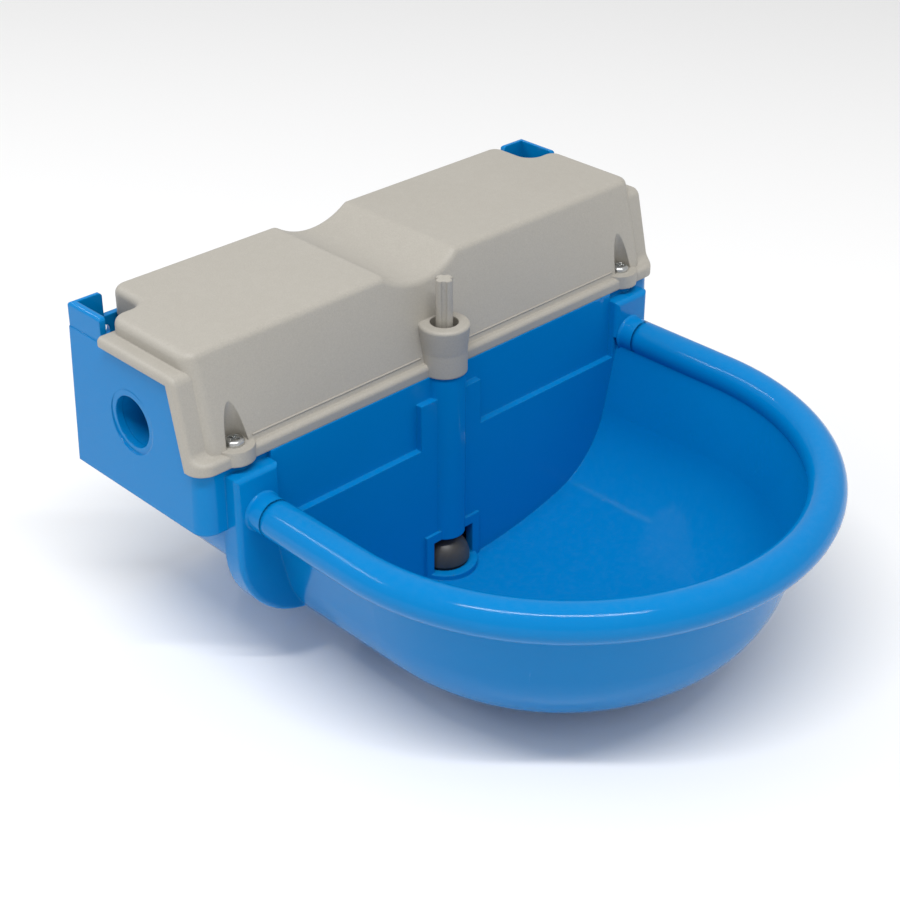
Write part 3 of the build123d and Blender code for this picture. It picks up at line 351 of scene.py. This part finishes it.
def drift_group(tree):
    """Slow drift of a plastic's colour across a large moulding."""
    source, sink = group_sockets(
        tree,
        [("Color", "NodeSocketColor", (0.5, 0.5, 0.5, 1)), ("Other", "NodeSocketColor", (0.4, 0.4, 0.4, 1)),
         ("Scale", "NodeSocketFloat", 14.0), ("Amount", "NodeSocketFloat", 0.5)],
        [("Color", "NodeSocketColor"), ("Mask", "NodeSocketFloat")])
    place = part_coordinates(tree)
    clouds = noise(tree, place, source.outputs["Scale"], detail=5.0, roughness=0.55, distortion=0.4)
    cloud = remap(tree, clouds, low=0.32, high=0.68)
    amount = maths(tree, "MULTIPLY", cloud, source.outputs["Amount"])
    colour = blended(tree, amount, source.outputs["Color"], source.outputs["Other"])
    tree.links.new(colour, sink.inputs["Color"])
    tree.links.new(cloud, sink.inputs["Mask"])


def scuff_group(tree):
    """Hair-fine handling scratches and dull patches, as a mask."""
    source, sink = group_sockets(
        tree, [("Scratches", "NodeSocketFloat", 0.5), ("Patches", "NodeSocketFloat", 0.3)],
        [("Mask", "NodeSocketFloat"), ("Height", "NodeSocketFloat")])
    place = part_coordinates(tree)
    lines = None
    for scale in ((900, 60, 60), (70, 1000, 90), (300, 320, 30)):
        streak = noise(tree, stretched(tree, place, scale), 1.0, detail=2.0, distortion=0.6)
        mark = remap(tree, streak, low=0.66, high=0.72)
        lines = mark if lines is None else maths(tree, "MAXIMUM", lines, mark)
    where = remap(tree, noise(tree, place, 35.0, detail=2.0), low=0.48, high=0.62)
    scratches = maths(tree, "MULTIPLY", maths(tree, "MULTIPLY", lines, where), source.outputs["Scratches"])
    dull = remap(tree, noise(tree, place, 22.0, detail=6.0, roughness=0.65), low=0.45, high=0.7)
    patches = maths(tree, "MULTIPLY", dull, source.outputs["Patches"])
    tree.links.new(maths(tree, "ADD", scratches, patches, clamp=True), sink.inputs["Mask"])
    tree.links.new(maths(tree, "MULTIPLY", scratches, -1.0), sink.inputs["Height"])


def dust_group(tree):
    """Thin pale dust that settles on what faces up."""
    source, sink = group_sockets(
        tree, [("Amount", "NodeSocketFloat", 0.1)], [("Mask", "NodeSocketFloat")])
    facing = tree.nodes.new("ShaderNodeSeparateXYZ")
    tree.links.new(tree.nodes.new("ShaderNodeNewGeometry").outputs["Normal"], facing.inputs[0])
    up = remap(tree, facing.outputs["Z"], low=0.35, high=1.0)
    motes = noise(tree, part_coordinates(tree), 260.0, detail=8.0, roughness=0.7)
    specks = remap(tree, motes, low=0.42, high=0.72)
    mask = maths(tree, "MULTIPLY", maths(tree, "MULTIPLY", up, specks), source.outputs["Amount"])
    tree.links.new(mask, sink.inputs["Mask"])


SHARED_EFFECTS = {
    "grain": ("Mould grain", grain_group),
    "drift": ("Colour drift", drift_group),
    "scuffs": ("Handling scuffs", scuff_group),
    "dust": ("Settled dust", dust_group),
}


def shared_effect(tree, kind, **values):
    """Places a shared effect in a material, with its own values."""
    name, fill_group = SHARED_EFFECTS[kind]
    made = bpy.data.node_groups.get(name)
    if not made:
        made = bpy.data.node_groups.new(name, "ShaderNodeTree")
        fill_group(made)
    node = tree.nodes.new("ShaderNodeGroup")
    node.node_tree = made
    for socket_name, value in values.items():
        feed(tree, node.inputs[socket_name], value)
    return node


# ---------------------------------------------------------------- materials

def opaque(colour, factors=(1.0, 1.0, 1.0)):
    """A colour with full alpha, its channels scaled where asked."""
    return (*(channel * factor for channel, factor in zip(colour, factors)), 1.0)


def new_material(name):
    """An empty node material with its Principled BSDF."""
    material = bpy.data.materials.new(name)
    material.use_nodes = True
    tree = material.node_tree
    return material, tree, tree.nodes["Principled BSDF"]


def relief(tree, shader, height, distance, round_radius=0.0, strength=1.0):
    """Feeds a height, and softened edges where asked, into the shader's normal."""
    bump = tree.nodes.new("ShaderNodeBump")
    bump.inputs["Distance"].default_value = distance
    bump.inputs["Strength"].default_value = strength
    tree.links.new(height, bump.inputs["Height"])
    if round_radius:
        bevel = tree.nodes.new("ShaderNodeBevel")
        bevel.samples = 6
        bevel.inputs["Radius"].default_value = round_radius
        tree.links.new(bevel.outputs["Normal"], bump.inputs["Normal"])
    tree.links.new(bump.outputs["Normal"], shader.inputs["Normal"])


def roughen(tree, shader, mask, clean, marked):
    """Carries the roughness from its clean value to its marked one, over a mask."""
    roughness = remap(tree, mask, low=0.0, high=1.0, to_low=clean, to_high=marked)
    tree.links.new(roughness, shader.inputs["Roughness"])


def blue_gloss(plastics):
    """Glossy blue polypropylene: the housing."""
    material, tree, shader = new_material("blue_gloss")
    blue = opaque(plastics.blue)
    deeper = opaque(plastics.blue, factors=(0.8, 0.86, 0.92))
    drift = shared_effect(tree, "drift", Color=blue, Other=deeper, Scale=7.0, Amount=0.30)
    scuffs = shared_effect(tree, "scuffs", Scratches=0.5, Patches=0.25)
    dust = shared_effect(tree, "dust", Amount=0.02)
    paler = blended(tree, maths(tree, "MULTIPLY", scuffs.outputs["Mask"], 0.08),
                    drift.outputs["Color"], (0.02, 0.32, 0.66, 1.0))
    dusted = blended(tree, dust.outputs["Mask"], paler, (0.36, 0.52, 0.68, 1.0))
    tree.links.new(dusted, shader.inputs["Base Color"])
    roughen(tree, shader, scuffs.outputs["Mask"], plastics.blue_roughness, plastics.blue_roughness + 0.26)
    grain = shared_effect(tree, "grain", Scale=420.0, Pebble=0.8)
    height = maths(tree, "ADD", maths(tree, "MULTIPLY", grain.outputs["Height"], 0.35),
                   scuffs.outputs["Height"])
    relief(tree, shader, height, distance=0.00002, round_radius=plastics.edge_round)
    shader.inputs["IOR"].default_value = PLASTIC_IOR
    shader.inputs["Specular IOR Level"].default_value = 0.16
    return material


def grey_matt(plastics):
    """Warm grey plastic with a fine matt grain: the cover and the drain rod."""
    material, tree, shader = new_material("grey_matt")
    grey = opaque(plastics.grey)
    warmer = opaque(plastics.grey, factors=(0.93, 0.915, 0.90))
    drift = shared_effect(tree, "drift", Color=grey, Other=warmer, Scale=7.0, Amount=0.35)
    scuffs = shared_effect(tree, "scuffs", Scratches=0.30, Patches=0.15)
    dust = shared_effect(tree, "dust", Amount=0.06)
    worn = blended(tree, maths(tree, "MULTIPLY", scuffs.outputs["Mask"], 0.16),
                   drift.outputs["Color"], (0.58, 0.55, 0.50, 1.0))
    dusted = blended(tree, dust.outputs["Mask"], worn, (0.66, 0.64, 0.60, 1.0))
    flecks = noise(tree, part_coordinates(tree), 1500.0, detail=2.0, roughness=0.6)
    fleck = remap(tree, flecks, low=0.3, high=0.7, to_low=0.93, to_high=1.05)
    tone = tree.nodes.new("ShaderNodeCombineColor")
    for socket in tone.inputs[:3]:
        tree.links.new(fleck, socket)
    tree.links.new(blended(tree, 1.0, dusted, tone.outputs[0], "MULTIPLY"), shader.inputs["Base Color"])
    roughen(tree, shader, scuffs.outputs["Mask"], plastics.grey_roughness, plastics.grey_roughness - 0.10)
    grain = shared_effect(tree, "grain", Scale=1100.0, Pebble=0.7)
    relief(tree, shader, grain.outputs["Height"], distance=0.00012,
           round_radius=plastics.edge_round, strength=0.55)
    shader.inputs["IOR"].default_value = PLASTIC_IOR
    return material


def painted_shade_plastic(plastics):
    """Plug plastic with a soft gloss, its colour painted dark grey as painted shade: it stands for the deep
    shade the plug sits in behind the window, not for a dark plastic.
    """
    material, tree, shader = new_material("painted_shade_plastic")
    # painted shade: this dark base colour and the slightly lighter one it drifts towards stand for the
    # shade inside the window
    plug_shade_colour = opaque(plastics.plug_grey)
    drift = shared_effect(tree, "drift", Color=plug_shade_colour, Other=(0.075, 0.070, 0.062, 1), Scale=60.0, Amount=0.6)
    scuffs = shared_effect(tree, "scuffs", Scratches=0.8, Patches=0.4)
    tree.links.new(drift.outputs["Color"], shader.inputs["Base Color"])
    roughen(tree, shader, scuffs.outputs["Mask"], clean=0.38, marked=0.62)
    grain = shared_effect(tree, "grain", Scale=1600.0, Pebble=0.4)
    relief(tree, shader, grain.outputs["Height"], distance=0.00004, round_radius=0.0004)
    return material


def white_plastic(plastics, name, colour, roughness, scatter):
    """Natural white plastic with a little light inside it: the float and the valve's inner parts."""
    material, tree, shader = new_material(name)
    yellowed = opaque(colour, factors=(0.94, 0.92, 0.82))
    drift = shared_effect(tree, "drift", Color=opaque(colour), Other=yellowed, Scale=30.0, Amount=0.6)
    scuffs = shared_effect(tree, "scuffs", Scratches=0.5, Patches=0.4)
    tree.links.new(drift.outputs["Color"], shader.inputs["Base Color"])
    roughen(tree, shader, scuffs.outputs["Mask"], roughness, roughness + 0.2)
    grain = shared_effect(tree, "grain", Scale=900.0, Pebble=0.6)
    relief(tree, shader, grain.outputs["Height"], distance=0.00004, round_radius=plastics.edge_round)
    shader.inputs["Subsurface Weight"].default_value = scatter
    shader.inputs["Subsurface Radius"].default_value = (0.003, 0.003, 0.0025)
    return material


def black_rubber():
    """Rubber seals with a dull bloom."""
    material, tree, shader = new_material("black_rubber")
    drift = shared_effect(tree, "drift", Color=(0.016, 0.016, 0.016, 1), Other=(0.05, 0.05, 0.048, 1),
                          Scale=90.0, Amount=0.8)
    tree.links.new(drift.outputs["Color"], shader.inputs["Base Color"])
    roughen(tree, shader, drift.outputs["Mask"], clean=0.62, marked=0.82)
    grain = shared_effect(tree, "grain", Scale=1500.0, Pebble=0.8)
    relief(tree, shader, grain.outputs["Height"], distance=0.00005)
    return material


def turned_metal(name, colour, roughness, tarnish, stretch, wear=0.5):
    """Metal with tool marks, tarnish and bright rubbed places."""
    material, tree, shader = new_material(name)
    shader.inputs["Metallic"].default_value = 1.0
    drift = shared_effect(tree, "drift", Color=opaque(colour), Other=opaque(tarnish), Scale=120.0,
                          Amount=0.75)
    scuffs = shared_effect(tree, "scuffs", Scratches=wear, Patches=0.5)
    tree.links.new(drift.outputs["Color"], shader.inputs["Base Color"])
    roughen(tree, shader, scuffs.outputs["Mask"], roughness, roughness + 0.22)
    marks = noise(tree, stretched(tree, part_coordinates(tree), stretch), 1.0, detail=3.0, roughness=0.6)
    relief(tree, shader, marks, distance=0.00004, round_radius=0.0004)
    return material


def material_for(name):
    """Makes a material the first time it is asked for."""
    found = bpy.data.materials.get(name)
    if found:
        return found
    plastics = bpy.context.scene.bowl_plastics
    metals = bpy.context.scene.bowl_metals
    makers = {
        "blue_gloss": lambda: blue_gloss(plastics),
        "grey_matt": lambda: grey_matt(plastics),
        "painted_shade_plastic": lambda: painted_shade_plastic(plastics),
        "float_plastic": lambda: white_plastic(plastics, "float_plastic", plastics.float_white, 0.36, 0.15),
        "acetal": lambda: white_plastic(plastics, "acetal", (0.80, 0.80, 0.77), 0.28, 0.1),
        "black_rubber": black_rubber,
        "zinc_plate": lambda: turned_metal("zinc_plate", metals.zinc, 0.26, (0.50, 0.51, 0.50),
                                           (300, 300, 300)),
        "brass": lambda: turned_metal("brass", metals.brass, 0.30, (0.42, 0.27, 0.11), (2600, 60, 60)),
        "drawn_steel": lambda: turned_metal("drawn_steel", metals.steel, 0.30, (0.40, 0.39, 0.38),
                                            (90, 900, 90)),
    }
    return makers[name]()


# ---------------------------------------------------------------- operators

class BOWL_OT_camera(bpy.types.Operator):
    """Places the camera above the bowl's near corner"""

    bl_idname = "bowl.camera"
    bl_label = "Camera"

    def execute(self, context):
        stage = context.scene.bowl_stage
        camera = bpy.data.objects.new("camera", bpy.data.cameras.new("camera"))
        context.scene.collection.objects.link(camera)
        camera.matrix_world = aimed(stage.azimuth, stage.elevation, stage.distance, stage.roll)
        camera.data.sensor_width = 36.0
        camera.data.lens = stage.lens
        camera.data.shift_x, camera.data.shift_y = stage.shift
        camera.data.clip_start = 0.01
        context.scene.camera = camera
        return {"FINISHED"}


class BOWL_OT_stage(bpy.types.Operator):
    """Makes the pale floor and the soft studio light"""

    bl_idname = "bowl.stage"
    bl_label = "Floor and lights"

    def execute(self, context):
        stage = context.scene.bowl_stage
        bm = bmesh.new()
        bmesh.ops.create_grid(bm, x_segments=1, y_segments=1, size=FLOOR_HALF)
        floor_mesh = mesh_from(bm, "floor", smooth=False)
        floor = bpy.data.objects.new("floor", floor_mesh)
        floor.location.z = FLOOR_Z - FLOOR_GAP
        context.scene.collection.objects.link(floor)
        material, _, shader = new_material("pale_floor")
        shader.inputs["Base Color"].default_value = opaque(stage.floor_colour)
        shader.inputs["Roughness"].default_value = 0.65
        floor_mesh.materials.append(material)

        self.softbox("key_light", stage.azimuth, stage.key_elevation, stage.key_power,
                     stage.key_length, stage.key_width)
        self.softbox("back_light", stage.azimuth + BACK_TURN, BACK_ELEVATION, stage.back_power,
                     stage.key_length, stage.key_width)
        fill = self.softbox("fill_light", stage.azimuth + FILL_TURN, FILL_ELEVATION, stage.fill_power,
                            stage.key_length, stage.key_length)
        fill.visible_glossy = False
        world = bpy.data.worlds.new("studio")
        world.use_nodes = True
        background = world.node_tree.nodes["Background"]
        background.inputs["Color"].default_value = (1.0, 1.0, 1.0, 1.0)
        background.inputs["Strength"].default_value = stage.sky
        context.scene.world = world
        context.scene.view_settings.view_transform = "Standard"
        return {"FINISHED"}

    @staticmethod
    def softbox(name, azimuth, elevation, power, length, width):
        """A rectangular area light aimed at the bowl, its long side level."""
        light = bpy.data.lights.new(name, "AREA")
        light.shape = "RECTANGLE"
        light.size = length
        light.size_y = width
        light.energy = power
        obj = bpy.data.objects.new(name, light)
        obj.matrix_world = aimed(azimuth, elevation, LIGHT_DISTANCE)
        bpy.context.scene.collection.objects.link(obj)
        return obj


class BOWL_OT_housing(bpy.types.Operator):
    """Finishes the blue housing, lines its spare bore and blends the rim's ends into the flange"""

    bl_idname = "bowl.housing"
    bl_label = "Housing"

    def execute(self, context):
        blue = material_for("blue_gloss")
        dress("housing", blue)
        outline = (
            (LINING_OUT, BORE_R), (LINING_OUT, LINING_R), (LINING_IN - LINING_BEVEL, LINING_R),
            (LINING_IN, LINING_R - LINING_BEVEL), (LINING_IN, BORE_R + BORE_BEVEL),
            (LINING_IN - BORE_BEVEL, BORE_R))
        lining = turned_mesh("bore_lining", outline, BORE_CENTRE)
        shape_object("bore_lining", lining, "root", blue)
        outline = [(FLANGE_Y + y, radius) for y, radius in RIM_BLEND]
        for name, side in (("rim_blend_left", -1), ("rim_blend_right", 1)):
            centre = Vector((side * RIM_HALF, 0, RIM_Z))
            blend = turned_mesh(name, outline, centre, along_y=True)
            shape_object(name, blend, "root", blue)
        return {"FINISHED"}


class BOWL_OT_cover(bpy.types.Operator):
    """Finishes the grey cover and runs a bead along the foot of its front"""

    bl_idname = "bowl.cover"
    bl_label = "Cover"

    def execute(self, context):
        grey = material_for("grey_matt")
        dress("cover", grey)
        for name, (start, end) in BEAD_ENDS.items():
            bead = bead_mesh(name, Vector((start, BEAD_Y, BEAD_Z)), Vector((end, BEAD_Y, BEAD_Z)), BEAD_R)
            shape_object(name, bead, "root", grey)
        return {"FINISHED"}


class BOWL_OT_screws(bpy.types.Operator):
    """Finishes the two cover screws"""

    bl_idname = "bowl.screws"
    bl_label = "Cover screws"

    def execute(self, context):
        dress("cover_screws", material_for("zinc_plate"))
        return {"FINISHED"}


class BOWL_OT_drain(bpy.types.Operator):
    """Finishes the drain rod, its plug and its seal"""

    bl_idname = "bowl.drain"
    bl_label = "Drain"

    def execute(self, context):
        dress("drain_rod", material_for("grey_matt"))
        # the plug gets the material with painted shade
        dress("drain_plug", material_for("painted_shade_plastic"))
        dress("drain_seal", material_for("black_rubber"))
        return {"FINISHED"}


class BOWL_OT_valve(bpy.types.Operator):
    """Finishes the inlet and the valve"""

    bl_idname = "bowl.valve"
    bl_label = "Inlet and valve"

    def execute(self, context):
        for node in ("valve_body", "valve_cap", "inlet_backnut"):
            dress(node, material_for("brass"))
        metals = context.scene.bowl_metals
        thread = thread_mesh("inlet_thread", THREAD_START, THREAD_END, THREAD_R, metals.thread_pitch,
                             metals.thread_height, metals.thread_steps)
        shape_object("inlet_thread", thread, "root", material_for("brass"))
        for node in ("nozzle_seat", "valve_piston"):
            dress(node, material_for("acetal"))
        for node in ("inlet_washers", "piston_washer"):
            dress(node, material_for("black_rubber"))
        for node in ("pivot_pin", "pivot_clip"):
            dress(node, material_for("drawn_steel"))
        return {"FINISHED"}


class BOWL_OT_float(bpy.types.Operator):
    """Finishes the float and its arm"""

    bl_idname = "bowl.float"
    bl_label = "Float arm"

    def execute(self, context):
        dress("float_lever", material_for("brass"))
        for node in ("float_rod", "float_locknuts"):
            dress(node, material_for("drawn_steel"))
        for node in ("float_shell", "float_cap"):
            dress(node, material_for("float_plastic"))
        return {"FINISHED"}


class BOWL_PT_panel(bpy.types.Panel):
    """Lists the bowl's pieces"""

    bl_label = "Drinking bowl"
    bl_space_type = "VIEW_3D"
    bl_region_type = "UI"
    bl_category = "Drinking bowl"

    def draw(self, context):
        for step in STEPS:
            self.layout.operator(f"bowl.{step}")
        for group in (context.scene.bowl_stage, context.scene.bowl_plastics, context.scene.bowl_metals):
            column = self.layout.column()
            for name in group.bl_rna.properties.keys():
                if name not in ("rna_type", "name"):
                    column.prop(group, name)


STEPS = ("camera", "stage", "housing", "cover", "screws", "drain", "valve", "float")
CLASSES = (BowlStage, BowlPlastics, BowlMetals, BOWL_OT_camera, BOWL_OT_stage, BOWL_OT_housing,
           BOWL_OT_cover, BOWL_OT_screws, BOWL_OT_drain, BOWL_OT_valve, BOWL_OT_float, BOWL_PT_panel)


def register():
    for cls in CLASSES:
        bpy.utils.register_class(cls)
    bpy.types.Scene.bowl_stage = PointerProperty(type=BowlStage)
    bpy.types.Scene.bowl_plastics = PointerProperty(type=BowlPlastics)
    bpy.types.Scene.bowl_metals = PointerProperty(type=BowlMetals)


def unregister():
    for name in ("bowl_stage", "bowl_plastics", "bowl_metals"):
        delattr(bpy.types.Scene, name)
    for cls in reversed(CLASSES):
        bpy.utils.unregister_class(cls)


def main():
    register()
    for step in STEPS:
        getattr(bpy.ops.bowl, step)()


if __name__ == "__main__":
    main()
